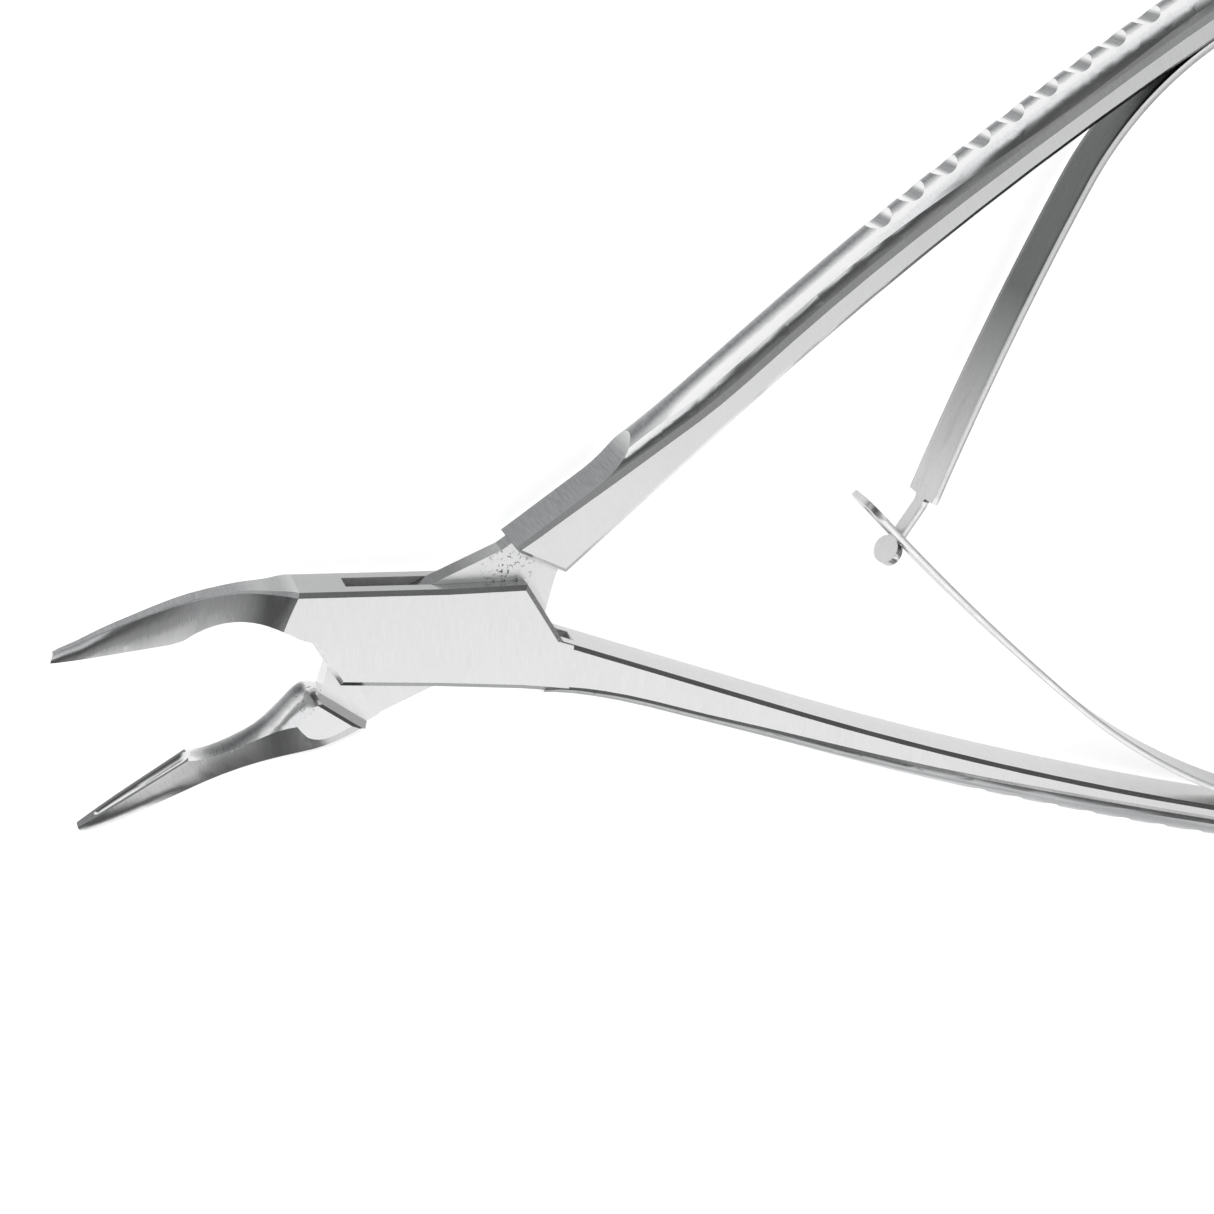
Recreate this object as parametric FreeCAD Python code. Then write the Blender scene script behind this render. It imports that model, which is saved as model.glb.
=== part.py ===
import FreeCAD, Part
import math
import os
from FreeCAD import Vector

# Box-joint rongeur pliers, all in stainless steel, in millimetres.
#
# Row frame: the origin is on the pivot axis, in the flat face that the tool lies on (z = 0).
# +Z runs through the thickness, +X runs from the jaws to the handles along the box half.
# The box half is drawn where it lies. The tongue half and its spring leaf are drawn in their own
# frame, which is the same frame with the jaws shut, and are then turned open about the pivot.

# ---- the whole tool
THICKNESS = 7.0
MID = THICKNESS / 2
OPEN_ANGLE = 26.2           # tongue half's own frame, turned from the box half's, at rest
CHEEK = 2.1                 # each of the two cheeks of the box joint
SIDE_PLAY = 0.05            # between the tongue and each cheek
BEVEL = 0.4                 # on the box's edges
PIN_RADIUS = 1.2
PIN_PLAY = 0.03             # radial, in the tongue only

# ---- handles: the inner face is a straight run and then one long arc
HANDLE_START = Vector(14.5, 0.9, 0)
HANDLE_SLOPE = 17.2         # degrees from the half's own axis
HANDLE_STRAIGHT = 18.0
HANDLE_RADIUS = 340.0
HANDLE_LENGTH = 93.5        # along the inner face, from HANDLE_START
INNER_BEVEL = 0.35
END_EASE = 0.05             # added to the radii of the handle's rounded end
GROOVES = 12
GROOVE_START = 37.5         # along the inner face, from HANDLE_START
GROOVE_PITCH = 3.5
GROOVE_RADIUS = 1.7
GROOVE_DEPTH = 0.5
HANDLE_PROUD = 0.1          # handle lofts stand this much proud of both flats until they are ground

# Handle sections as (distance along the inner face, flat's width, depth to the crown of the back).
TONGUE_HANDLE = [(-3.4, 4.2, 6.9), (0, 3.75, 6.2), (5, 3.15, 5.1), (8.5, 2.75, 4.55), (12, 2.35, 4.38),
                 (18, 1.8, 4.27), (24, 1.75, 4.22), (34, 1.75, 4.25), (44, 1.6, 4.3), (54, 1.5, 4.35),
                 (64, 1.6, 4.4), (74, 1.6, 4.4), (84, 1.6, 4.4), (95, 1.6, 4.4)]
BOX_HANDLE = [(-3.4, 4.1, 4.9), (0, 3.25, 4.2), (5, 2.7, 3.72), (8.5, 2.55, 3.58), (12, 2.4, 3.5),
              (18, 2.05, 3.4), (25, 1.8, 3.38), (34, 1.5, 3.35), (44, 1.15, 3.3), (54, 0.95, 3.3),
              (64, 0.95, 3.3), (74, 0.95, 3.3), (84, 0.95, 3.3), (95, 0.95, 3.3)]
# The narrow facet between each flat and the rounded back, as (how far it goes back, how far down).
TONGUE_FACET = (0.6, 0.21)
BOX_FACET = (0.3, 0.12)
ROUNDING = 1.1              # first arc's radius, as a share of what is left from facet to crown

# The flat ground on the back of the tongue handle's root, from the box to its run-out: two points.
ROOT_FLAT = [Vector(8.1, 3.9, 0), Vector(18.2, 5.96, 0)]
RUN_OUT_RADIUS = 11.0
RUN_OUT_TURN = 45.0         # degrees
ROOT_LEAD = 4.7             # how far the cut starts before the flat's first point

# ---- jaws as sections across the own axis: (x, back y, rim y, half width at the back, half width at
# the rim, bulge of the sides). The rims are drawn long and are then cut back in plan.
BOX_JAW_SLANT = 0.34        # the box half's sections lean towards +X by this much per unit of y
BOX_JAW = [(-30.5, -1.2, -2.3, 0.45, 0.85, 0.12), (-29.6, -0.7, -2.1, 0.55, 1.08, 0.20),
           (-28.3, -0.02, -1.9, 0.7, 1.3, 0.26), (-26.4, 1.05, -1.5, 0.85, 1.5, 0.28),
           (-24.1, 2.15, -1.1, 1.0, 1.65, 0.26), (-22.3, 2.95, -0.8, 1.15, 1.78, 0.24),
           (-20.9, 3.45, -0.4, 1.28, 1.85, 0.20), (-19.2, 3.9, 0.1, 1.4, 1.93, 0.16),
           (-17.4, 4.25, 0.6, 1.6, 2.05, 0.12), (-15.7, 4.4, 0.7, 2.0, 2.4, 0.06),
           (-14.2, 4.48, 0.5, 2.65, 2.95, 0.03), (-12.5, 4.5, 0.3, 3.5, 3.54, 0.02)]
TONGUE_JAW = [(-32.95, -2.35, -1.3, 0.38, 0.8, 0.10), (-31.6, -2.68, -1.0, 0.45, 1.0, 0.20),
              (-29.5, -2.9, -0.7, 0.55, 1.3, 0.28), (-26.6, -3.02, -0.4, 0.65, 1.5, 0.28),
              (-23.6, -3.05, -0.1, 0.8, 1.65, 0.22), (-21.5, -3.09, 0.0, 0.95, 1.8, 0.15),
              (-19.0, -3.25, 0.0, 1.25, 1.98, 0.10), (-16.6, -3.55, 0.2, 1.7, 2.35, 0.05),
              (-14.4, -3.9, 0.8, 2.4, 3.0, 0.08), (-12.5, -4.2, 1.6, 3.2, 3.65, 0.28)]
TONGUE_JAW_ROOT = [(-12.5, -4.2, 1.6, 3.2, 3.65, 0.28), (-11.6, -4.32, 1.6, 3.32, 3.72, 0.30),
                   (-10.0, -4.42, 1.6, 3.35, 3.75, 0.30), (-8.6, -4.38, 1.6, 3.35, 3.75, 0.30),
                   (-6.2, -4.2, 1.6, 3.35, 3.75, 0.30)]
# Box half's rim in plan: straight from the tip, a short step, and the round throat.
BOX_RIM = [(-34.0, -2.4), (-21.3, -0.13), (-20.3, 0.2)]
BOX_THROAT = [(-20.3, 0.2), (-15.8, 1.82), (-11.0, 0.62)]
BOX_THROAT_END = (-9.9, 0.3)
# Tongue half's rim in plan, and its throat as (x, crown y, radius across).
TONGUE_RIM = [(-34.0, -1.92), (-22.4, -0.48), (-8.0, 1.3)]
TONGUE_THROAT = [(-23.2, 0.3, 20.0), (-22.2, -0.4, 16.0), (-21.0, -0.82, 12.0), (-19.4, -1.0, 8.5),
                 (-17.6, -0.98, 6.6), (-15.8, -0.75, 5.5), (-14.0, -0.2, 4.8), (-12.5, 0.4, 4.6),
                 (-11.3, 0.7, 5.5), (-10.0, 0.15, 6.0), (-8.0, -0.8, 6.0), (-6.0, -1.2, 7.0)]
# The spoon-shaped hollow in each jaw: (x, centre's offset beyond the rim, radius), rear and tip.
BOX_CUP = [(-22.9, -0.42, -0.25, 1.28), (-30.2, -1.69, -0.15, 0.68)]
TONGUE_CUP = [(-23.0, -0.24, 0.25, 1.28), (-30.7, -1.40, 0.15, 0.68)]

# ---- box joint, in plan, and the stretch of the block (from x to x) whose long edges are bevelled
BEVELLED_FROM = -9.7
BEVELLED_TO = 11.4
BOX_BLOCK = [(-9.9, 0.3), (-7.35, -3.5), (1.0, -3.7), (8.0, -4.0), (12.0, -4.35), (12.3, -0.28),
             (11.5, -0.05), (8.2, 5.0), (1.5, 4.7), (-10.97, 4.5), (-12.4, 0.3)]
WINDOW = [(-6.9, 9.0), (-6.9, 4.5), (-10.4, 0.1), (-14.0, -6.0), (7.9, -9.0), (9.2, -4.6),
          (12.7, -0.4), (14.5, 1.5), (14.5, 9.0)]
TONGUE_PLAN = [(-6.2, 4.1), (-9.8, -0.1), (-12.0, -0.3), (-11.2, -4.0), (-7.9, -4.1), (8.8, -4.05),
               (11.8, -0.4), (12.9, 0.8), (13.6, 4.9), (8.9, 4.05)]
# Shoulders of the tongue half, at the tongue's face and at the tool's flat face.
HANDLE_SHOULDER = [(8.68, 4.6), (12.3, 0.4)]
JAW_SHOULDER = [(-10.2, 0.15), (-7.8, -3.72)]
HANDLE_SHOULDER_LEAN = 0.5
JAW_SHOULDER_LEAN = 0.4
SHOULDER_EASE = 0.27        # bevel between each shoulder and the flat
SHOULDER_REACH = 9.0        # how far past the tongue's edges the shoulders are cut

# ---- spring leaves: flat on the handle's inner face, then two arcs that curve away from it
LEAF_THICKNESS = 0.55
LEAF_WIDTH = 6.4
LEAF_END = 88.0             # along the handle's inner face
LEAF_HINGE = 8.0            # along the leaf, from where it leaves the handle
HINGE_GAP = 0.06
# Each leaf as (where it leaves the handle, first arc's radius, first arc's turn in degrees, second
# arc's radius, length off the handle).
EYED_LEAF = (71.3, 54.0, 30.4, 230.0, 55.9)
HEADED_LEAF = (69.3, 32.5, 29.5, 310.0, 46.5)
TIP_CORNER = 2.2
EYE_LENGTH = 6.0
EYE_WIDTH = 2.9
EYE_FROM_TIP = 4.1
NECK_LENGTH = 4.28
NECK_WIDTH = 2.1
NECK_BEND = -12.0           # degrees, against the leaf's own curve
NECK_BEND_RADIUS = 2.0
NECK_FILLET = 0.4
HEAD_ALONG = 1.25           # half axes of the oval head
HEAD_ACROSS = 2.65

# ---- screws that hold the leaves
SCREW_PLACE = 80.0          # along the handle's inner face
SCREW_HEAD_RADIUS = 1.8
SCREW_HEAD_HEIGHT = 0.9
SCREW_HEAD_BEVEL = 0.2
SCREW_SHANK_RADIUS = 0.9
SCREW_DEPTH = 2.3           # into the handle
HOLE_SPARE = 0.3            # the hole goes this much deeper than the screw
SCREW_SLOT = 0.45
THREAD_PLAY = 0.02

LOFT_DEGREE = 3
UP = Vector(0, 0, 1)
PIVOT = Vector(0, 0, 0)
OVERRUN = 1.0               # how far cutters stand out of what they cut
ASIDE = 15.0                # further from the axis than any part of a jaw
FAR = 60.0                  # more than half of any length in the tool
SMALL = 0.01                # two lengths closer than this are the same


def plan_point(pair, z=0.0):
    return Vector(pair[0], pair[1], z)


def plate(points, z_low, z_high):
    """A flat-sided block: a closed plan outline raised from z_low to z_high."""
    corners = [plan_point(pair, z_low) for pair in points]
    face = Part.Face(Part.makePolygon(corners + corners[:1]))
    return face.extrude(Vector(0, 0, z_high - z_low))


def loft(wires):
    """A closed solid, smooth from section to section."""
    return Part.makeLoft(wires, True, False, False, LOFT_DEGREE)


def handle_path(distance):
    """Point and direction of the handle's inner face, and the direction towards its back."""
    slope = math.radians(HANDLE_SLOPE)
    along = Vector(math.cos(slope), math.sin(slope), 0)
    if distance <= HANDLE_STRAIGHT:
        return HANDLE_START + along * distance, along, UP.cross(along)
    turn = (distance - HANDLE_STRAIGHT) / HANDLE_RADIUS
    arc_start = HANDLE_START + along * HANDLE_STRAIGHT
    centre = arc_start - UP.cross(along) * HANDLE_RADIUS
    here = slope - turn
    direction = Vector(math.cos(here), math.sin(here), 0)
    back = UP.cross(direction)
    return centre + back * HANDLE_RADIUS, direction, back


def rounded_back(edge, lean, radius, depth):
    """Half of a handle's back in its section, as (inward, height) points: an arc that leaves the
    facet smoothly, and the flatter crown arc that it runs into."""
    centre_in = edge[0] - radius * math.sin(lean)
    centre_up = edge[1] - radius * math.cos(lean)
    inward = centre_in - depth
    upward = centre_up - MID
    crown_radius = (radius ** 2 - inward ** 2 - upward ** 2) / (2 * (inward + radius))
    end_lean = math.atan2(inward + crown_radius, upward)

    def on_rounding(angle):
        return centre_in + radius * math.sin(angle), centre_up + radius * math.cos(angle)

    return on_rounding((lean + end_lean) / 2), on_rounding(end_lean)


def handle_section(distance, flat, depth, facet):
    """Inner face with bevelled edges, a flat and a facet on each side, and a rounded back."""
    place, _, back = handle_path(distance)
    across, deep = facet
    radius = ROUNDING * (depth - flat - across)

    def at(inward, height):
        return place + back * inward + UP * height

    def below(point):
        return at(point[0], THICKNESS - point[1])

    bevel_end = INNER_BEVEL + HANDLE_PROUD
    flat_end = flat - HANDLE_PROUD * across / deep
    high = THICKNESS + HANDLE_PROUD
    edge = (flat + across, THICKNESS - deep)
    rounding, crown_start = rounded_back(edge, math.atan2(deep, across), radius, depth)
    corners = [at(bevel_end, -HANDLE_PROUD), at(0, INNER_BEVEL), at(0, THICKNESS - INNER_BEVEL),
               at(bevel_end, high), at(flat_end, high), at(*edge)]
    sides = [Part.makeLine(start, end) for start, end in zip(corners, corners[1:])]
    sides += [Part.Arc(at(*edge), at(*rounding), at(*crown_start)).toShape(),
              Part.Arc(at(*crown_start), at(depth, MID), below(crown_start)).toShape(),
              Part.Arc(below(crown_start), below(rounding), below(edge)).toShape(),
              Part.makeLine(below(edge), at(flat_end, -HANDLE_PROUD)),
              Part.makeLine(at(flat_end, -HANDLE_PROUD), corners[0])]
    return Part.Wire(sides)


def root_relief():
    """What the wheel takes off the back of the tongue handle's root, up to its round run-out."""
    start, end = ROOT_FLAT
    along = (end - start).normalize()
    out = UP.cross(along)
    centre = end + out * RUN_OUT_RADIUS

    def on_run_out(turn):
        angle = math.radians(turn)
        return centre + (along * math.sin(angle) - out * math.cos(angle)) * RUN_OUT_RADIUS

    low = start - along * ROOT_LEAD
    run_end = on_run_out(RUN_OUT_TURN)
    clear = run_end + out * RUN_OUT_RADIUS
    top = low + out * RUN_OUT_RADIUS
    return raised([Part.makeLine(low, end),
                   Part.Arc(end, on_run_out(RUN_OUT_TURN / 2), run_end).toShape(),
                   Part.makeLine(run_end, clear),
                   Part.makeLine(clear, top),
                   Part.makeLine(top, low)])


def end_trimmers(depth):
    """What comes off the handle's end to round it in plan and in side view."""
    place, along, back = handle_path(HANDLE_LENGTH)
    trimmers = []
    for radius, axis, middle in ((depth / 2, UP, back * (depth / 2)), (MID, back, UP * MID)):
        radius += END_EASE
        centre = place - along * radius + middle - axis * FAR
        aside = axis.cross(along) * FAR
        corners = [centre - aside, centre + aside, centre + aside + along * FAR,
                   centre - aside + along * FAR]
        block = Part.Face(Part.makePolygon(corners + corners[:1])).extrude(axis * (2 * FAR))
        trimmers.append(block.cut(Part.makeCylinder(radius, 2 * FAR, centre, axis)))
    return trimmers


def grooves(depth_law):
    """Round-bottomed grooves across the back of the handle."""
    cutters = []
    for index in range(GROOVES):
        distance = GROOVE_START + index * GROOVE_PITCH
        place, _, back = handle_path(distance)
        centre = place + back * (depth_law(distance) - GROOVE_DEPTH + GROOVE_RADIUS)
        cutters.append(Part.makeCylinder(GROOVE_RADIUS, THICKNESS + 2 * OVERRUN,
                                         centre - UP * OVERRUN, UP))
    return cutters


def handle(sections, facet):
    """A whole handle on the +Y side, from the box joint to its rounded end."""
    body = loft([handle_section(*row, facet) for row in sections])
    body = body.common(slab()).cut(end_trimmers(sections[-1][2]))

    def crown(distance):
        for (before, _, low), (after, _, high) in zip(sections, sections[1:]):
            if before <= distance <= after:
                return low + (high - low) * (distance - before) / (after - before)
        return sections[-1][2]

    place, _, back = handle_path(SCREW_PLACE)
    hole = Part.makeCylinder(SCREW_SHANK_RADIUS + THREAD_PLAY, SCREW_DEPTH + HOLE_SPARE + OVERRUN,
                             place + UP * MID - back * OVERRUN, back)
    return body.cut(grooves(crown) + [hole])


def jaw_section(slant, x, back_y, rim_y, half_back, half_rim, side_bulge):
    """Back line with a bevel at each end, the two sides as arcs, and the rim line."""
    bevel = BEVEL * half_back / MID
    bevel_y = back_y - math.copysign(bevel, back_y - rim_y)

    def at(y, offset):
        return Vector(x + slant * y, y, MID + offset)

    def side(sign):
        across = sign * ((half_back + half_rim) / 2 + side_bulge)
        return Part.Arc(at(bevel_y, sign * half_back), at((bevel_y + rim_y) / 2, across),
                        at(rim_y, sign * half_rim)).toShape()

    low_side = side(-1)
    low_side.reverse()
    narrow = half_back - bevel
    return Part.Wire([Part.makeLine(at(back_y, -narrow), at(back_y, narrow)),
                      Part.makeLine(at(back_y, narrow), at(bevel_y, half_back)),
                      side(1),
                      Part.makeLine(at(rim_y, half_rim), at(rim_y, -half_rim)),
                      low_side,
                      Part.makeLine(at(bevel_y, -half_back), at(back_y, -narrow))])


def jaw(sections, slant=0.0):
    return loft([jaw_section(slant, *row) for row in sections])


def raised(edges):
    """A block with this plan outline, through the whole tool and out of both flats."""
    face = Part.Face(Part.Wire(edges))
    face.translate(UP * -OVERRUN)
    return face.extrude(UP * (THICKNESS + 2 * OVERRUN))


def plan_lines(pairs):
    points = [plan_point(pair) for pair in pairs]
    return [Part.makeLine(start, end) for start, end in zip(points, points[1:])]


def below_box_rim():
    """All that lies on the tongue half's side of the box half's rim and throat."""
    throat = Part.Arc(*[plan_point(pair) for pair in BOX_THROAT]).toShape()
    outside = [BOX_THROAT_END, (BOX_THROAT_END[0], -ASIDE), (BOX_RIM[0][0], -ASIDE), BOX_RIM[0]]
    return raised(plan_lines(BOX_RIM) + [throat] + plan_lines([BOX_THROAT[-1]] + outside))


def above_tongue_rim():
    """All that lies on the box half's side of the tongue half's straight rim."""
    outside = [(TONGUE_RIM[-1][0], ASIDE), (TONGUE_RIM[0][0], ASIDE), TONGUE_RIM[0]]
    return raised(plan_lines(TONGUE_RIM + outside))


def tongue_throat():
    """What the wheel takes out of the tongue half's throat, which is round across."""
    wires = []
    half = MID + OVERRUN / 2
    for x, crown, radius in TONGUE_THROAT:
        edge = crown - radius + math.sqrt(radius * radius - half * half)
        ends = [Vector(x, edge, MID - half), Vector(x, edge, MID + half)]
        corners = [Vector(x, ASIDE, MID + half), Vector(x, ASIDE, MID - half)]
        wires.append(Part.Wire([Part.Arc(ends[0], Vector(x, crown, MID), ends[1]).toShape(),
                                Part.makeLine(ends[1], corners[0]),
                                Part.makeLine(corners[0], corners[1]),
                                Part.makeLine(corners[1], ends[0])]))
    return loft(wires)


def cup(ends):
    """A tapered round trough: two balls and the cone that touches both."""
    balls = []
    for x, y, beyond, radius in ends:
        balls.append((Vector(x, y + beyond, MID), radius))
    (rear, big), (tip, small) = balls
    axis = tip - rear
    lean = (big - small) / axis.Length
    rise = math.sqrt(1 - lean * lean)
    direction = Vector(axis).normalize()
    cone = Part.makeCone(big * rise, small * rise, axis.Length - big * lean + small * lean,
                         rear + direction * (big * lean), direction)
    return cone.fuse([Part.makeSphere(big, rear), Part.makeSphere(small, tip)])


def slab():
    """The space between the two planes that the tool's flats are ground to."""
    return Part.makeBox(4 * FAR, 2 * FAR, THICKNESS, Vector(-2 * FAR, -FAR, 0))


def bevelled_block():
    block = plate(BOX_BLOCK, 0, THICKNESS)

    def long_edge(edge):
        level = abs(edge.Vertexes[0].Z - edge.Vertexes[1].Z) < SMALL
        return level and BEVELLED_FROM < edge.CenterOfMass.x < BEVELLED_TO

    return block.makeChamfer(BEVEL, [edge for edge in block.Edges if long_edge(edge)])


def pivot_hole(play):
    return Part.makeCylinder(PIN_RADIUS + play, THICKNESS + 2 * OVERRUN, UP * -OVERRUN, UP)


def box_half():
    """Upper jaw, slotted box and lower handle, in one piece."""
    lower_handle = handle(BOX_HANDLE, BOX_FACET).mirror(PIVOT, Vector(0, 1, 0))
    upper_jaw = jaw(BOX_JAW, BOX_JAW_SLANT).common(slab())
    body = bevelled_block().fuse([upper_jaw, lower_handle]).cut(below_box_rim())
    window = plate(WINDOW, CHEEK - SIDE_PLAY, THICKNESS - CHEEK + SIDE_PLAY)
    return body.cut([window, cup(BOX_CUP), pivot_hole(0)]).removeSplitter()


def shoulder_cutter(line, lean, side):
    """Takes one side of a leaning, bevelled face away, above the tongue's face and below it."""
    start = plan_point(line[0])
    end = plan_point(line[1])
    along = (end - start).normalize()
    out = UP.cross(along) * side
    pieces = []
    for face_z, way in ((THICKNESS - CHEEK, 1), (CHEEK, -1)):
        near = start - along * SHOULDER_REACH + UP * face_z

        def at(reach, rise):
            return near - out * reach + UP * (way * rise)

        eased = lean + SHOULDER_EASE
        profile = [at(0, 0), at(lean, CHEEK - SHOULDER_EASE), at(eased, CHEEK),
                   at(eased + OVERRUN, CHEEK + OVERRUN), at(-SHOULDER_REACH, CHEEK + OVERRUN),
                   at(-SHOULDER_REACH, 0)]
        face = Part.Face(Part.makePolygon(profile + profile[:1]))
        pieces.append(face.extrude(along * ((end - start).Length + 2 * SHOULDER_REACH)))
    return pieces


def tongue_half():
    """Lower jaw, tongue and upper handle, in one piece, in the closed tool's frame."""
    upper = handle(TONGUE_HANDLE, TONGUE_FACET).cut(root_relief())
    upper = upper.cut(shoulder_cutter(HANDLE_SHOULDER, HANDLE_SHOULDER_LEAN, -1))
    lower = jaw(TONGUE_JAW).fuse(jaw(TONGUE_JAW_ROOT)).common(slab())
    lower = lower.cut([above_tongue_rim(), tongue_throat()])
    lower = lower.cut(shoulder_cutter(JAW_SHOULDER, JAW_SHOULDER_LEAN, 1))
    tongue = plate(TONGUE_PLAN, CHEEK, THICKNESS - CHEEK)
    body = tongue.fuse([upper, lower])
    return body.cut([cup(TONGUE_CUP), pivot_hole(PIN_PLAY)]).removeSplitter()


def pivot_pin():
    return Part.makeCylinder(PIN_RADIUS, THICKNESS, PIVOT, UP)


def bent(point, heading, radius, angle):
    """An arc in plan that turns the heading by an angle: its end, the new heading, and the arc."""
    aside = UP.cross(heading)
    offset = math.copysign(radius, angle)

    def at(turn):
        turned = heading * math.cos(turn) + aside * math.sin(turn)
        return point + (aside - UP.cross(turned)) * offset, turned

    end, new_heading = at(angle)
    return end, new_heading, Part.Arc(point, at(angle / 2)[0], end).toShape()


def leaf_root(leaf, length):
    """The first stretch of a leaf off the handle, this long: its end, heading and middle line."""
    place, along, back = handle_path(leaf[0])
    return bent(place - back * (LEAF_THICKNESS / 2), along * -1, leaf[1], length / leaf[1])


def strip(edges, width=LEAF_WIDTH):
    """A flat spring strip swept along a middle line."""
    first = edges[0]
    start = first.valueAt(first.FirstParameter)
    heading = first.tangentAt(first.FirstParameter)
    aside = UP.cross(heading) * (LEAF_THICKNESS / 2)
    low = UP * (MID - width / 2)
    high = UP * (MID + width / 2)
    corners = [start - aside + low, start + aside + low, start + aside + high, start - aside + high]
    profile = Part.makePolygon(corners + corners[:1])
    return Part.Wire(edges).makePipeShell([profile], True, False)


def leaf_foot(leaf):
    """The clamped end of a leaf: on the handle, then the first part of its arc."""
    half = LEAF_THICKNESS / 2
    foot_points = []
    for distance in (LEAF_END, (LEAF_END + leaf[0]) / 2, leaf[0]):
        place, _, back = handle_path(distance)
        foot_points.append(place - back * half)
    _, _, root_arc = leaf_root(leaf, LEAF_HINGE - half - HINGE_GAP)
    foot = strip([Part.Arc(*foot_points).toShape(), root_arc])
    place, _, back = handle_path(SCREW_PLACE)
    hole = Part.makeCylinder(SCREW_SHANK_RADIUS + THREAD_PLAY, LEAF_THICKNESS + 2 * OVERRUN,
                             place + UP * MID - back * (LEAF_THICKNESS + OVERRUN), back)
    return foot.cut(hole)


def leaf_blade(leaf):
    """The moving part of a leaf, with a half-round root on its bending axis."""
    _, root_radius, root_turn, long_radius, reach = leaf
    hinge, heading, _ = leaf_root(leaf, LEAF_HINGE)
    turn = math.radians(root_turn)
    root_end, heading, root_arc = bent(hinge, heading, root_radius, turn - LEAF_HINGE / root_radius)
    long_turn = (reach - turn * root_radius) / long_radius
    tip, heading, long_arc = bent(root_end, heading, long_radius, long_turn)
    root = Part.makeCylinder(LEAF_THICKNESS / 2, LEAF_WIDTH, hinge + UP * (MID - LEAF_WIDTH / 2), UP)
    return strip([root_arc, long_arc]).fuse(root), tip, heading


def leaf_plate(origin, heading, outline, thickness=LEAF_THICKNESS):
    """A flat plate in the strip's plane, from an outline drawn as (along, across)."""
    aside = UP.cross(heading)
    face = Part.Face(outline)
    face.Placement = FreeCAD.Placement(origin - aside * (thickness / 2) + UP * MID,
                                       FreeCAD.Rotation(heading, UP, aside * -1, "XYZ"))
    return face.extrude(aside * thickness)


def rounded_slot(length, width, centre):
    """A rounded slot's outline along the strip, centred at the given distance from the origin."""
    radius = width / 2
    run = length / 2 - radius
    corners = [Vector(centre - run, -radius, 0), Vector(centre + run, -radius, 0),
               Vector(centre + run, radius, 0), Vector(centre - run, radius, 0)]
    return Part.Wire([Part.makeLine(corners[0], corners[1]),
                      Part.Arc(corners[1], Vector(centre + length / 2, 0, 0), corners[2]).toShape(),
                      Part.makeLine(corners[2], corners[3]),
                      Part.Arc(corners[3], Vector(centre - length / 2, 0, 0), corners[0]).toShape()])


def corner_edges(shape, point, reach):
    """The short edges through the strip's thickness, within reach of a point."""
    middle = point + UP * MID
    return [edge for edge in shape.Edges
            if abs(edge.Length - LEAF_THICKNESS) < SMALL
            and edge.CenterOfMass.distanceToPoint(middle) < reach]


def eyed_blade():
    """Box half's leaf: rounded tip, and an eye that the other leaf's neck passes through."""
    blade, tip, heading = leaf_blade(EYED_LEAF)
    blade = blade.makeFillet(TIP_CORNER, corner_edges(blade, tip, LEAF_WIDTH / 2 + LEAF_THICKNESS))
    outline = rounded_slot(EYE_LENGTH, EYE_WIDTH, -EYE_FROM_TIP)
    return blade.cut(leaf_plate(tip, heading, outline, 4 * LEAF_THICKNESS))


def neck_root(half, radius):
    """Outline of the neck where it leaves the shoulders, with a hollow fillet on each side."""
    wide = half + radius
    slant = radius * math.sqrt(0.5)
    corners = [Vector(-radius, -wide, 0), Vector(0, -wide, 0), Vector(radius, -half, 0),
               Vector(radius, half, 0), Vector(0, wide, 0), Vector(-radius, wide, 0)]
    lower = Vector(radius - slant, slant - wide, 0)
    upper = Vector(radius - slant, wide - slant, 0)
    return Part.Wire([Part.makeLine(corners[0], corners[1]),
                      Part.Arc(corners[1], lower, corners[2]).toShape(),
                      Part.makeLine(corners[2], corners[3]),
                      Part.Arc(corners[3], upper, corners[4]).toShape(),
                      Part.makeLine(corners[4], corners[5]),
                      Part.makeLine(corners[5], corners[0])])


def headed_blade():
    """Tongue half's leaf: square shoulders, a narrow bent neck and an oval head."""
    blade, shoulder, heading = leaf_blade(HEADED_LEAF)
    root = leaf_plate(shoulder, heading, neck_root(NECK_WIDTH / 2, NECK_FILLET))
    bend_start = shoulder + heading * NECK_FILLET
    bend_end, heading, bend = bent(bend_start, heading, NECK_BEND_RADIUS, math.radians(NECK_BEND))
    straight = NECK_LENGTH - NECK_FILLET - bend.Length
    neck_end = bend_end + heading * (straight + HEAD_ALONG / 2)
    neck = strip([bend, Part.makeLine(bend_end, neck_end)], NECK_WIDTH)
    centre = Vector(straight + HEAD_ALONG, 0, 0)
    oval = Part.Ellipse(centre + Vector(0, HEAD_ACROSS, 0), centre + Vector(HEAD_ALONG, 0, 0), centre)
    head = leaf_plate(bend_end, heading, Part.Wire([oval.toShape()]))
    return blade.fuse([root, neck, head]).removeSplitter()


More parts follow.
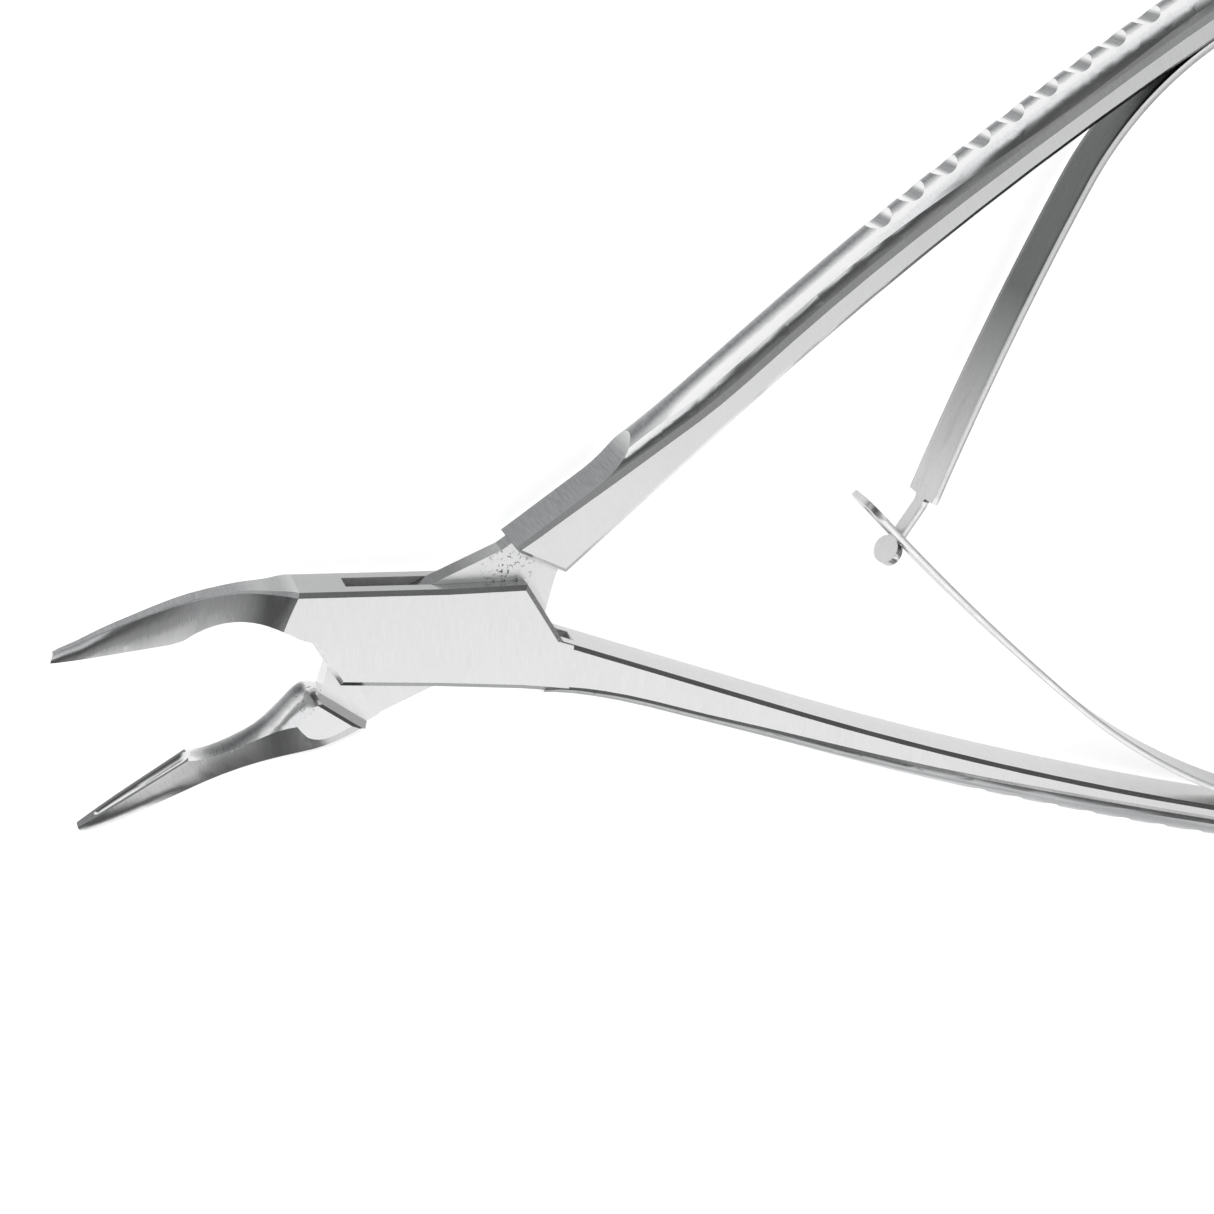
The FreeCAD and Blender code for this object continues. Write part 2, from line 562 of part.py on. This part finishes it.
def leaf_screw():
    """Slotted screw: its head bears on the leaf, its shank is in the handle."""
    place, along, back = handle_path(SCREW_PLACE)
    seat = place + UP * MID - back * LEAF_THICKNESS
    top = seat - back * SCREW_HEAD_HEIGHT
    head = Part.makeCylinder(SCREW_HEAD_RADIUS, SCREW_HEAD_HEIGHT, top, back)
    head = head.makeChamfer(SCREW_HEAD_BEVEL, [edge for edge in head.Edges
                                               if (edge.CenterOfMass - top).Length < SMALL])
    shank = Part.makeCylinder(SCREW_SHANK_RADIUS, SCREW_DEPTH + LEAF_THICKNESS, seat, back)
    slot_reach = SCREW_HEAD_RADIUS + OVERRUN
    slot = Part.makeBox(2 * slot_reach, SCREW_SLOT, SCREW_HEAD_HEIGHT,
                        Vector(-slot_reach, -SCREW_SLOT / 2, 0))
    slot.Placement = FreeCAD.Placement(top - back * (SCREW_HEAD_HEIGHT / 2),
                                       FreeCAD.Rotation(UP, along, back, "ZXY"))
    return head.fuse(shank).cut(slot).removeSplitter()


def on_box_half(shape):
    return shape.mirror(PIVOT, Vector(0, 1, 0))


def on_tongue_half(shape):
    turned = shape.copy()
    turned.rotate(PIVOT, UP, OPEN_ANGLE)
    return turned


def nodes():
    return {
        "box_half": box_half(),
        "tongue_half": on_tongue_half(tongue_half()),
        "pivot_pin": pivot_pin(),
        "eyed_leaf_foot": on_box_half(leaf_foot(EYED_LEAF)),
        "eyed_leaf_blade": on_box_half(eyed_blade()),
        "box_leaf_screw": on_box_half(leaf_screw()),
        "headed_leaf_foot": on_tongue_half(leaf_foot(HEADED_LEAF)),
        "headed_leaf_blade": on_tongue_half(headed_blade()),
        "tongue_leaf_screw": on_tongue_half(leaf_screw()),
    }


def main():
    os.makedirs("parts", exist_ok=True)
    for name, shape in nodes().items():
        box = shape.BoundBox
        print(name, shape.isValid(), len(shape.Solids), round(shape.Volume, 2),
              [round(value, 2) for value in (box.XMin, box.XMax, box.YMin, box.YMax, box.ZMin, box.ZMax)])
        shape.exportStep("parts/%s.step" % name)
    eyed_hinge = on_box_half(Part.Vertex(leaf_root(EYED_LEAF, LEAF_HINGE)[0])).Point
    headed_hinge = on_tongue_half(Part.Vertex(leaf_root(HEADED_LEAF, LEAF_HINGE)[0])).Point
    for name, point in (("eyed", eyed_hinge), ("headed", headed_hinge)):
        print(name, "leaf bends about", round(point.x, 3), round(point.y, 3))


main()
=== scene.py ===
import math

import bmesh
import bpy
from mathutils import Matrix, Vector


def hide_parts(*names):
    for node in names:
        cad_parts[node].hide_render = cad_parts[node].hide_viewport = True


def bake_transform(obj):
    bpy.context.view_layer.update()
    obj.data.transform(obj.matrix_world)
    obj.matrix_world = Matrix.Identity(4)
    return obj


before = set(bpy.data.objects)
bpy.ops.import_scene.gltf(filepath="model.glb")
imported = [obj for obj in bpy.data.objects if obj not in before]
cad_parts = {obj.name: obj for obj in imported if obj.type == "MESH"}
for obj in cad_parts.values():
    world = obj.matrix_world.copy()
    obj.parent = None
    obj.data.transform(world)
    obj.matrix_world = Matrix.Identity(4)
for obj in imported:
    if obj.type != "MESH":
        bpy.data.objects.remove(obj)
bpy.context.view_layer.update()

MM = 0.001
MID = 3.5                   # middle of the tool's thickness
OPEN_ANGLE = math.radians(26.2)

# The handle's inner face, and the leaves that leave it, in millimetres and in each half's own frame.
HANDLE_START = Vector((14.5, 0.9))
HANDLE_SLOPE = math.radians(17.2)
HANDLE_STRAIGHT = 18.0
HANDLE_RADIUS = 340.0
LEAF_THICKNESS = 0.55
LEAF_WIDTH = 6.4
LEAF_END = 88.0             # along the handle's inner face
# Each leaf as (where it leaves the handle, first arc's radius, first arc's turn in degrees, second
# arc's radius, length off the handle).
EYED_LEAF = (71.3, 54.0, 30.4, 230.0, 55.9)
HEADED_LEAF = (69.3, 32.5, 29.5, 310.0, 46.5)
TIP_CORNER = 2.2
EYE_LENGTH = 6.0
EYE_WIDTH = 2.9
EYE_FROM_TIP = 4.1
NECK_LENGTH = 4.28
NECK_WIDTH = 2.1
NECK_BEND = math.radians(-12.0)
NECK_BEND_RADIUS = 2.0
NECK_FILLET = 0.4
HEAD_ALONG = 1.25           # half axes of the oval head
HEAD_ACROSS = 2.65
BEND_FROM = -1.0            # the stretch of each leaf, off the handle, that bends
BEND_TO = 17.0
PLAIN_STATIONS = 90         # steps along the plain stretch of a leaf
ROWS_ACROSS = 4             # steps from a leaf's middle to its edge
EDGE_EASE = 0.07

# Painted shade on faces of the two halves, standing for the dark reflections and shadow they show:
# (direction they look in, least and full agreement with it, largest X in metres, tone).
TOP_SIDE_PAINTED_SHADE = ((-0.3, 0.954, 0.0), 0.62, 0.82, 0.010, (0.068, 0.073, 0.080, 1))
LOW_SIDE_PAINTED_SHADE = ((0.0, -1.0, 0.0), 0.50, 0.68, 0.200, (0.26, 0.265, 0.27, 1))
INNER_FACE_PAINTED_SHADE = ((0.296, 0.955, 0.0), 0.90, 0.99, 0.200, (0.52, 0.525, 0.515, 1))
HANDLE_BACK_PAINTED_SHADE = ((-0.682, 0.731, 0.0), 0.90, 0.985, 0.200, (0.088, 0.094, 0.10, 1))
SLOT_SIDE_PAINTED_SHADOW = ((-0.4415, 0.897, 0.0), 0.93, 0.99, 0.002, (0.018, 0.020, 0.023, 1))
PAINTED_SHADE_FADE = 0.006           # metres past the largest X over which a painted shade fades
# Pitted spots as (x, y, radius), in millimetres.
PITTED_SPOTS = ((6.8, 6.0, 2.7), (-10.5, -4.6, 1.6))

# The camera, in millimetres.
CAMERA_PLACE = (-50.266, 77.773, 286.618)
CAMERA_FORWARD = (0.21991, -0.25170, -0.94249)
CAMERA_UP = (0.01141, 0.96674, -0.25551)
CAMERA_LENS = 104.7

# The room's brightness against a direction's height, which is its Z and a share of its X.
ROOM_LEAN = 0.35
ROOM_LEVELS = ((0.0, 1.0), (0.08, 1.0), (0.30, 0.10), (0.50, 0.07), (0.66, 0.16), (0.85, 0.30),
               (1.0, 0.35))


# ------------------------------------------------------------------ node helpers
class Nodes:
    """A material's node tree, with short calls to add and link nodes."""

    def __init__(self, name):
        self.material = bpy.data.materials.new(name)
        self.material.use_nodes = True
        self.tree = self.material.node_tree
        self.tree.nodes.clear()
        self.coordinates = self.add("ShaderNodeTexCoord")

    def add(self, kind, **settings):
        node = self.tree.nodes.new(kind)
        for name, value in settings.items():
            setattr(node, name, value)
        return node

    def link(self, source, target):
        self.tree.links.new(source, target)

    def feed(self, node, **inputs):
        """Sets sockets by name (underscores for spaces): links an output, or writes a value."""
        for name, value in inputs.items():
            socket = node.inputs[name.replace("_", " ")]
            if isinstance(value, bpy.types.NodeSocket):
                self.link(value, socket)
            else:
                socket.default_value = value
        return node

    def turned(self, angle, scale):
        """Object coordinates turned about Z and scaled, in the half's own directions."""
        turn = self.add("ShaderNodeMapping", vector_type="TEXTURE")
        self.feed(turn, Vector=self.coordinates.outputs["Object"], Rotation=(0, 0, angle))
        stretch = self.add("ShaderNodeMapping", vector_type="POINT")
        self.feed(stretch, Vector=turn.outputs[0], Scale=scale)
        return stretch.outputs[0]

    def noise(self, vector, scale=1.0, detail=2.0, roughness=0.5):
        node = self.add("ShaderNodeTexNoise")
        self.feed(node, Vector=vector, Scale=scale, Detail=detail, Roughness=roughness)
        return node.outputs["Fac"]

    def ramp(self, value, low, high, out_low=0.0, out_high=1.0):
        node = self.add("ShaderNodeMapRange", clamp=True)
        self.feed(node, Value=value, From_Min=low, From_Max=high, To_Min=out_low, To_Max=out_high)
        return node.outputs["Result"]

    def math(self, operation, first, second=0.0):
        node = self.add("ShaderNodeMath", operation=operation)
        for socket, value in zip(node.inputs, (first, second)):
            if isinstance(value, bpy.types.NodeSocket):
                self.link(value, socket)
            else:
                socket.default_value = value
        return node.outputs[0]

    def mix(self, factor, first, second):
        node = self.add("ShaderNodeMix", data_type="RGBA")
        for name, value in ((0, factor), (6, first), (7, second)):
            if isinstance(value, bpy.types.NodeSocket):
                self.link(value, node.inputs[name])
            else:
                node.inputs[name].default_value = value
        return node.outputs[2]

    def bump(self, height, strength, distance, normal=None):
        node = self.add("ShaderNodeBump")
        self.feed(node, Height=height, Strength=strength, Distance=distance)
        if normal is not None:
            self.link(normal, node.inputs["Normal"])
        return node.outputs["Normal"]

    def finish(self, **inputs):
        shader = self.add("ShaderNodeBsdfPrincipled")
        self.feed(shader, **inputs)
        output = self.add("ShaderNodeOutputMaterial")
        self.link(shader.outputs[0], output.inputs["Surface"])
        return self.material


def steel(name, angle, painted_shade_faces, pits=()):
    """Ground stainless steel: fine strokes across the half's own axis on the flats, a smoother
    polish on rounded parts, painted shade on the faces that look in the given directions, and pits."""
    n = Nodes(name)
    across = n.noise(n.turned(angle, (14000, 420, 3000)), detail=3.0, roughness=0.7)
    fine = n.noise(n.turned(angle, (22000, 1500, 1500)), detail=2.0)
    upright = n.noise(n.turned(angle, (9000, 9000, 350)), detail=3.0, roughness=0.65)
    wide = n.noise(n.turned(angle, (110, 60, 160)), detail=3.0)
    split = n.add("ShaderNodeSeparateXYZ")
    n.link(n.coordinates.outputs["Normal"], split.inputs[0])
    flat = n.ramp(n.math("ABSOLUTE", split.outputs["Z"]), 0.955, 0.985)
    rough_side = n.math("ADD", n.ramp(wide, 0.3, 0.7, 0.13, 0.19),
                        n.ramp(upright, 0.3, 0.7, 0.0, 0.05))
    blend = n.add("ShaderNodeMix", data_type="FLOAT")
    n.link(flat, blend.inputs[0])
    n.link(rough_side, blend.inputs[2])
    n.link(n.ramp(across, 0.3, 0.7, 0.29, 0.42), blend.inputs[3])
    streak = n.math("ADD", n.math("MULTIPLY", n.ramp(across, 0.3, 0.7), 0.6),
                    n.math("MULTIPLY", fine, 0.4))
    colour = n.mix(streak, (0.68, 0.68, 0.675, 1), (0.86, 0.86, 0.855, 1))
    cloud = n.ramp(wide, 0.35, 0.75)
    colour = n.mix(n.math("MULTIPLY", cloud, 0.25), colour, (0.86, 0.86, 0.85, 1))
    place = n.add("ShaderNodeSeparateXYZ")
    n.link(n.coordinates.outputs["Object"], place.inputs[0])
    # Painted shade: faces looking in each given direction are darkened, standing for the dark
    # reflections and shadow they show.
    for direction, low, high, limit, painted_tone in painted_shade_faces:
        lean = n.add("ShaderNodeVectorMath", operation="DOT_PRODUCT")
        n.link(n.coordinates.outputs["Normal"], lean.inputs[0])
        lean.inputs[1].default_value = direction
        share = n.ramp(lean.outputs["Value"], low, high)
        share = n.math("MULTIPLY", share,
                       n.ramp(place.outputs["X"], limit, limit + PAINTED_SHADE_FADE, 1.0, 0.0))
        share = n.math("MULTIPLY", share, n.ramp(upright, 0.25, 0.75, 0.8, 1.0))
        colour = n.mix(share, colour, painted_tone)
    height = n.math("ADD", n.math("MULTIPLY", across, 0.6), n.math("MULTIPLY", fine, 0.4))
    for x, y, radius in pits:
        offset = n.add("ShaderNodeMapping", vector_type="POINT")
        n.feed(offset, Vector=n.coordinates.outputs["Object"], Location=(-x * MM, -y * MM, 0),
               Scale=(1, 1, 0))
        distance = n.add("ShaderNodeVectorMath", operation="LENGTH")
        n.link(offset.outputs[0], distance.inputs[0])
        near = n.ramp(distance.outputs["Value"], radius * MM * 0.4, radius * MM, 1.0, 0.0)
        speck = n.noise(n.turned(0, (3600, 3600, 3600)), detail=3.0)
        pit = n.math("MULTIPLY", near, n.ramp(speck, 0.59, 0.65))
        colour = n.mix(pit, colour, (0.17, 0.17, 0.175, 1))
        height = n.math("SUBTRACT", height, n.math("MULTIPLY", pit, 3.0))
    return n.finish(Base_Color=colour, Metallic=1.0, Roughness=blend.outputs[0],
                    Normal=n.bump(height, 0.25, 0.000008))


def spring_steel(name, angle, painted_shade_heights):
    """Rolled spring strip: strokes along it, painted shade on its faces, darker from one Y to the
    other (the given heights, in millimetres) towards the handle that holds it, and a painted highlight
    on its edges."""
    n = Nodes(name)
    along = n.noise(n.turned(angle, (500, 500, 9000)), detail=3.0, roughness=0.6)
    wide = n.noise(n.turned(angle, (140, 140, 420)), detail=3.0)
    colour = n.mix(n.ramp(along, 0.3, 0.7), (0.50, 0.505, 0.50, 1), (0.62, 0.62, 0.615, 1))
    colour = n.mix(n.ramp(wide, 0.62, 0.74, 0.0, 0.4), colour, (0.36, 0.36, 0.36, 1))
    place = n.add("ShaderNodeSeparateXYZ")
    n.link(n.coordinates.outputs["Object"], place.inputs[0])
    side = n.add("ShaderNodeSeparateXYZ")
    n.link(n.coordinates.outputs["Normal"], side.inputs[0])
    # Painted shade: the faces darken towards the handle, standing for the shadow there; the edges
    # facing up and down are spared.
    shade = n.math("MULTIPLY", n.ramp(place.outputs["Y"], painted_shade_heights[0] * MM, painted_shade_heights[1] * MM, 0.0, 0.93),
                   n.ramp(n.math("ABSOLUTE", side.outputs["Z"]), 0.3, 0.8, 1.0, 0.0))
    colour = n.mix(shade, colour, (0.028, 0.034, 0.032, 1))
    # Painted highlight: the edges facing up and down are lightened, standing for the key light's
    # reflection.
    painted_highlight = n.ramp(n.math("ABSOLUTE", side.outputs["Z"]), 0.8, 0.95, 0.0, 0.8)
    colour = n.mix(painted_highlight, colour, (0.86, 0.86, 0.85, 1))
    rough = n.ramp(along, 0.3, 0.7, 0.24, 0.36)
    return n.finish(Base_Color=colour, Metallic=1.0, Roughness=rough,
                    Normal=n.bump(along, 0.3, 0.00001))


def turned_steel(name):
    """The screws' darker, even steel."""
    n = Nodes(name)
    grain = n.noise(n.turned(0, (5000, 5000, 5000)), detail=3.0)
    colour = n.mix(grain, (0.46, 0.46, 0.47, 1), (0.62, 0.62, 0.63, 1))
    return n.finish(Base_Color=colour, Metallic=1.0, Roughness=n.ramp(grain, 0.3, 0.7, 0.2, 0.32),
                    Normal=n.bump(grain, 0.2, 0.00001))


# ------------------------------------------------------------------ spring leaves
def left(direction):
    return Vector((-direction.y, direction.x))


def handle_path(distance):
    """Point and direction of the handle's inner face, in plan."""
    along = Vector((math.cos(HANDLE_SLOPE), math.sin(HANDLE_SLOPE)))
    if distance <= HANDLE_STRAIGHT:
        return HANDLE_START + along * distance, along
    here = HANDLE_SLOPE - (distance - HANDLE_STRAIGHT) / HANDLE_RADIUS
    direction = Vector((math.cos(here), math.sin(here)))
    centre = HANDLE_START + along * HANDLE_STRAIGHT - left(along) * HANDLE_RADIUS
    return centre + left(direction) * HANDLE_RADIUS, direction


def bent(point, heading, radius, turn):
    """Where an arc ends that starts at point and turns the heading; radius has the turn's sign."""
    turned = heading * math.cos(turn) + left(heading) * math.sin(turn)
    return point + (left(heading) - left(turned)) * radius, turned


def leaf_path(leaf, neck):
    """A function from the length off the handle to the leaf's middle line and its heading."""
    start, root_radius, root_turn, long_radius, reach = leaf
    foot, along = handle_path(start)
    foot -= left(along) * (LEAF_THICKNESS / 2)
    root = math.radians(root_turn) * root_radius
    root_end = bent(foot, -along, root_radius, math.radians(root_turn))
    reach_end = bent(*root_end, long_radius, (reach - root) / long_radius)
    bend_start = reach_end[0] + reach_end[1] * NECK_FILLET
    bend_length = abs(NECK_BEND) * NECK_BEND_RADIUS
    bend_end = bent(bend_start, reach_end[1], -NECK_BEND_RADIUS, NECK_BEND)

    def at(length):
        if length < 0:
            place, direction = handle_path(start - length)
            return place - left(direction) * (LEAF_THICKNESS / 2), -direction
        if length < root:
            return bent(foot, -along, root_radius, length / root_radius)
        if length <= reach:
            return bent(*root_end, long_radius, (length - root) / long_radius)
        past = length - reach - NECK_FILLET
        if not neck or past <= 0:
            return reach_end[0] + reach_end[1] * (length - reach), reach_end[1]
        if past < bend_length:
            return bent(bend_start, reach_end[1], -NECK_BEND_RADIUS, -past / NECK_BEND_RADIUS)
        return bend_end[0] + bend_end[1] * (past - bend_length), bend_end[1]

    return at


def round_span(first, last, count, ends=(True, True)):
    """Stations from first to last, closer together at the ends that are round."""
    stations = []
    for index in range(count + 1):
        share = index / count
        if all(ends):
            share = (1 - math.cos(math.pi * share)) / 2
        elif ends[0]:
            share = 1 - math.cos(math.pi / 2 * share)
        elif ends[1]:
            share = math.sin(math.pi / 2 * share)
        stations.append(first + (last - first) * share)
    return stations


def eyed_outline():
    """Rows along the eyed leaf: the station, the leaf's half width and the eye's half width."""
    reach = EYED_LEAF[-1]
    half = LEAF_WIDTH / 2
    eye_first = reach - EYE_FROM_TIP - EYE_LENGTH / 2
    eye_last = eye_first + EYE_LENGTH
    radius = EYE_WIDTH / 2

    def widths(station):
        outer = half
        past = station - (reach - TIP_CORNER)
        if past > 0:
            outer = half - TIP_CORNER + math.sqrt(max(TIP_CORNER ** 2 - past ** 2, 0))
        inner = 0.0
        if eye_first < station < eye_last:
            into = min(station - eye_first, eye_last - station)
            inner = radius if into > radius else math.sqrt(radius ** 2 - (radius - into) ** 2)
        return outer, inner

    stations = round_span(EYED_LEAF[0] - LEAF_END, eye_first, PLAIN_STATIONS, (False, False))
    stations += round_span(eye_first, eye_first + radius, 10, (True, False))[1:]
    stations += round_span(eye_first + radius, reach - TIP_CORNER, 4, (False, False))[1:]
    stations += round_span(reach - TIP_CORNER, eye_last, 10, (False, True))[1:]
    stations += round_span(eye_last, reach, 10, (True, True))[1:]
    return [(station, *widths(station)) for station in stations]


def headed_outline():
    """The same for the headed leaf: square shoulders, a neck with fillets and an oval head."""
    reach = HEADED_LEAF[-1]
    half = LEAF_WIDTH / 2
    neck = NECK_WIDTH / 2
    centre = reach + NECK_LENGTH + HEAD_ALONG
    join = centre - HEAD_ALONG * math.sqrt(1 - (neck / HEAD_ACROSS) ** 2)

    def oval(station):
        share = min(abs(station - centre) / HEAD_ALONG, 1)
        return HEAD_ACROSS * math.sqrt(1 - share ** 2)

    plain = round_span(HEADED_LEAF[0] - LEAF_END, reach - 0.02, PLAIN_STATIONS, (False, False))
    rows = [(station, half, 0.0) for station in plain]
    for station in round_span(reach, reach + NECK_FILLET, 5, (True, False)):
        drop = reach + NECK_FILLET - station
        rows.append((station, neck + NECK_FILLET - math.sqrt(NECK_FILLET ** 2 - drop ** 2), 0.0))
    rows += [(station, neck, 0.0)
             for station in round_span(reach + NECK_FILLET, join, 12, (False, False))[1:]]
    rows += [(station, max(oval(station), 0.02), 0.0)
             for station in round_span(join, centre + HEAD_ALONG, 20, (True, True))[1:]]
    return rows


def leaf_mesh(name, leaf, outline, neck, place):
    """The leaf's middle surface as a grid, then its thickness and eased edges."""
    mesh = bpy.data.meshes.new(name)
    form = bmesh.new()
    path = leaf_path(leaf, neck)
    for side in (1, -1):
        previous = None
        for station, outer, inner in outline:
            point, _ = path(station)
            spot = place(point)
            column = []
            for step in range(ROWS_ACROSS + 1):
                height = inner + (outer - inner) * step / ROWS_ACROSS
                column.append(form.verts.new((spot.x * MM, spot.y * MM, (MID + side * height) * MM)))
            if previous:
                for step in range(ROWS_ACROSS):
                    corners = [previous[step], column[step], column[step + 1], previous[step + 1]]
                    form.faces.new(corners if side > 0 else corners[::-1])
            previous = column
    bmesh.ops.remove_doubles(form, verts=form.verts, dist=2e-6)
    bmesh.ops.recalc_face_normals(form, faces=form.faces)
    form.to_mesh(mesh)
    form.free()
    thing = bpy.data.objects.new(name, mesh)
    bpy.context.collection.objects.link(thing)
    thick = thing.modifiers.new("thickness", "SOLIDIFY")
    thick.thickness = LEAF_THICKNESS * MM
    thick.offset = 0
    thick.use_even_offset = True
    ease = thing.modifiers.new("eased_edges", "BEVEL")
    ease.width = EDGE_EASE * MM
    ease.segments = 2
    ease.limit_method = "ANGLE"
    ease.angle_limit = math.radians(50)
    bpy.context.view_layer.update()
    evaluated = thing.evaluated_get(bpy.context.evaluated_depsgraph_get())
    solid = bpy.data.meshes.new_from_object(evaluated)
    thing.modifiers.clear()
    thing.data = solid
    for polygon in solid.polygons:
        polygon.use_smooth = True
    solid.set_sharp_from_angle(angle=math.radians(40))
    return thing


def on_box_half(point):
    return Vector((point.x, -point.y))


def on_tongue_half(point):
    cos, sin = math.cos(OPEN_ANGLE), math.sin(OPEN_ANGLE)
    return Vector((point.x * cos - point.y * sin, point.x * sin + point.y * cos))


def blend_points(leaf, place):
    path = leaf_path(leaf, False)
    ends = [place(path(length)[0]) for length in (BEND_FROM, BEND_TO)]
    return [(point.x * MM, point.y * MM, MID * MM) for point in ends]


def make_leaves():
    leaves = (("eyed_leaf", EYED_LEAF, eyed_outline(), False, on_box_half, "box", "eyed_spring",
               math.radians(-40), (-10.0, -24.0)),
              ("headed_leaf", HEADED_LEAF, headed_outline(), True, on_tongue_half, "tongue",
               "headed_spring", math.radians(65), (13.0, 30.0)))
    for name, leaf, outline, neck, place, body, spring_body, angle, painted_shade_heights in leaves:
        piece = leaf_mesh(name, leaf, outline, neck, place)
        piece.data.materials.clear()
        piece.data.materials.append(spring_steel(name + "_steel", angle, painted_shade_heights))
        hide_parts(name + "_foot", name + "_blade")
        start, end = blend_points(leaf, place)
        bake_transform(piece)


def finish_nodes():
    """Materials on the CAD pieces that stay in view."""
    box_steel = steel("box_half_steel", 0.0, (TOP_SIDE_PAINTED_SHADE, LOW_SIDE_PAINTED_SHADE, INNER_FACE_PAINTED_SHADE))
    tongue_steel = steel("tongue_half_steel", OPEN_ANGLE, (HANDLE_BACK_PAINTED_SHADE, SLOT_SIDE_PAINTED_SHADOW), PITTED_SPOTS)
    screw = turned_steel("screw_steel")
    finishes = {"box_half": box_steel, "pivot_pin": box_steel, "tongue_half": tongue_steel,
                "box_leaf_screw": screw, "tongue_leaf_screw": screw}
    for name, material in finishes.items():
        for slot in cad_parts[name].material_slots:
            slot.material = material


# ------------------------------------------------------------------ stage
def make_floor():
    mesh = bpy.data.meshes.new("floor")
    size = 2.5
    mesh.from_pydata([(-size, -size, 0), (size, -size, 0), (size, size, 0), (-size, size, 0)], [],
                     [(0, 1, 2, 3)])
    floor = bpy.data.objects.new("floor", mesh)
    floor.location.z = -0.00002
    bpy.context.collection.objects.link(floor)
    n = Nodes("floor_white")
    grain = n.noise(n.coordinates.outputs["Object"], scale=40.0)
    colour = n.mix(grain, (0.80, 0.80, 0.80, 1), (0.83, 0.83, 0.83, 1))
    floor.data.materials.append(n.finish(Base_Color=colour, Roughness=0.9, Specular_IOR_Level=0.0,
                                         Emission_Color=(1, 1, 1, 1), Emission_Strength=0.76))


def softbox(name, towards, distance, size, power):
    """A rectangular light in the given direction from the pivot, turned to face it."""
    light = bpy.data.lights.new(name, "AREA")
    light.shape = "RECTANGLE"
    light.size, light.size_y = size
    light.energy = power
    lamp = bpy.data.objects.new(name, light)
    direction = Vector(towards).normalized()
    lamp.location = direction * distance
    lamp.rotation_mode = "QUATERNION"
    lamp.rotation_quaternion = direction.to_track_quat("Z", "Y")
    bpy.context.collection.objects.link(lamp)


def make_world():
    """A pale room: bright low down, darker overhead, so that rounded steel has something to mirror."""
    world = bpy.data.worlds.new("studio")
    bpy.context.scene.world = world
    world.use_nodes = True
    tree = world.node_tree
    tree.nodes.clear()
    coordinates = tree.nodes.new("ShaderNodeTexCoord")
    split = tree.nodes.new("ShaderNodeSeparateXYZ")
    tree.links.new(coordinates.outputs["Generated"], split.inputs[0])
    lean = tree.nodes.new("ShaderNodeMath")
    lean.operation = "MULTIPLY_ADD"
    tree.links.new(split.outputs["X"], lean.inputs[0])
    lean.inputs[1].default_value = ROOM_LEAN
    tree.links.new(split.outputs["Z"], lean.inputs[2])
    ramp = tree.nodes.new("ShaderNodeValToRGB")
    tree.links.new(lean.outputs[0], ramp.inputs[0])
    while len(ramp.color_ramp.elements) < len(ROOM_LEVELS):
        ramp.color_ramp.elements.new(0.5)
    for element, (position, level) in zip(ramp.color_ramp.elements, ROOM_LEVELS):
        element.position = position
        element.color = (level, level * 1.01, level * 1.03, 1)
    background = tree.nodes.new("ShaderNodeBackground")
    tree.links.new(ramp.outputs[0], background.inputs["Color"])
    output = tree.nodes.new("ShaderNodeOutputWorld")
    tree.links.new(background.outputs[0], output.inputs["Surface"])


def make_camera():
    data = bpy.data.cameras.new("camera")
    data.sensor_width = 36.0
    data.lens = CAMERA_LENS
    data.clip_start = 0.01
    camera = bpy.data.objects.new("camera", data)
    forward = Vector(CAMERA_FORWARD).normalized()
    right = forward.cross(Vector(CAMERA_UP)).normalized()
    up = right.cross(forward)
    turn = Matrix((right, up, -forward)).transposed().to_4x4()
    camera.matrix_world = Matrix.Translation(Vector(CAMERA_PLACE) * MM) @ turn
    bpy.context.collection.objects.link(camera)
    bpy.context.scene.camera = camera


make_camera()
make_leaves()
finish_nodes()
make_floor()
make_world()
softbox("key", (0.02, -0.36, 0.93), 0.6, (0.66, 0.28), 0.60)
softbox("upper_fill", (0.34, 0.24, 0.91), 0.6, (0.28, 0.22), 0.16)
softbox("lower_fill", (0.44, -0.66, 0.62), 0.7, (0.35, 0.30), 0.22)
bpy.context.scene.view_settings.view_transform = "Standard"
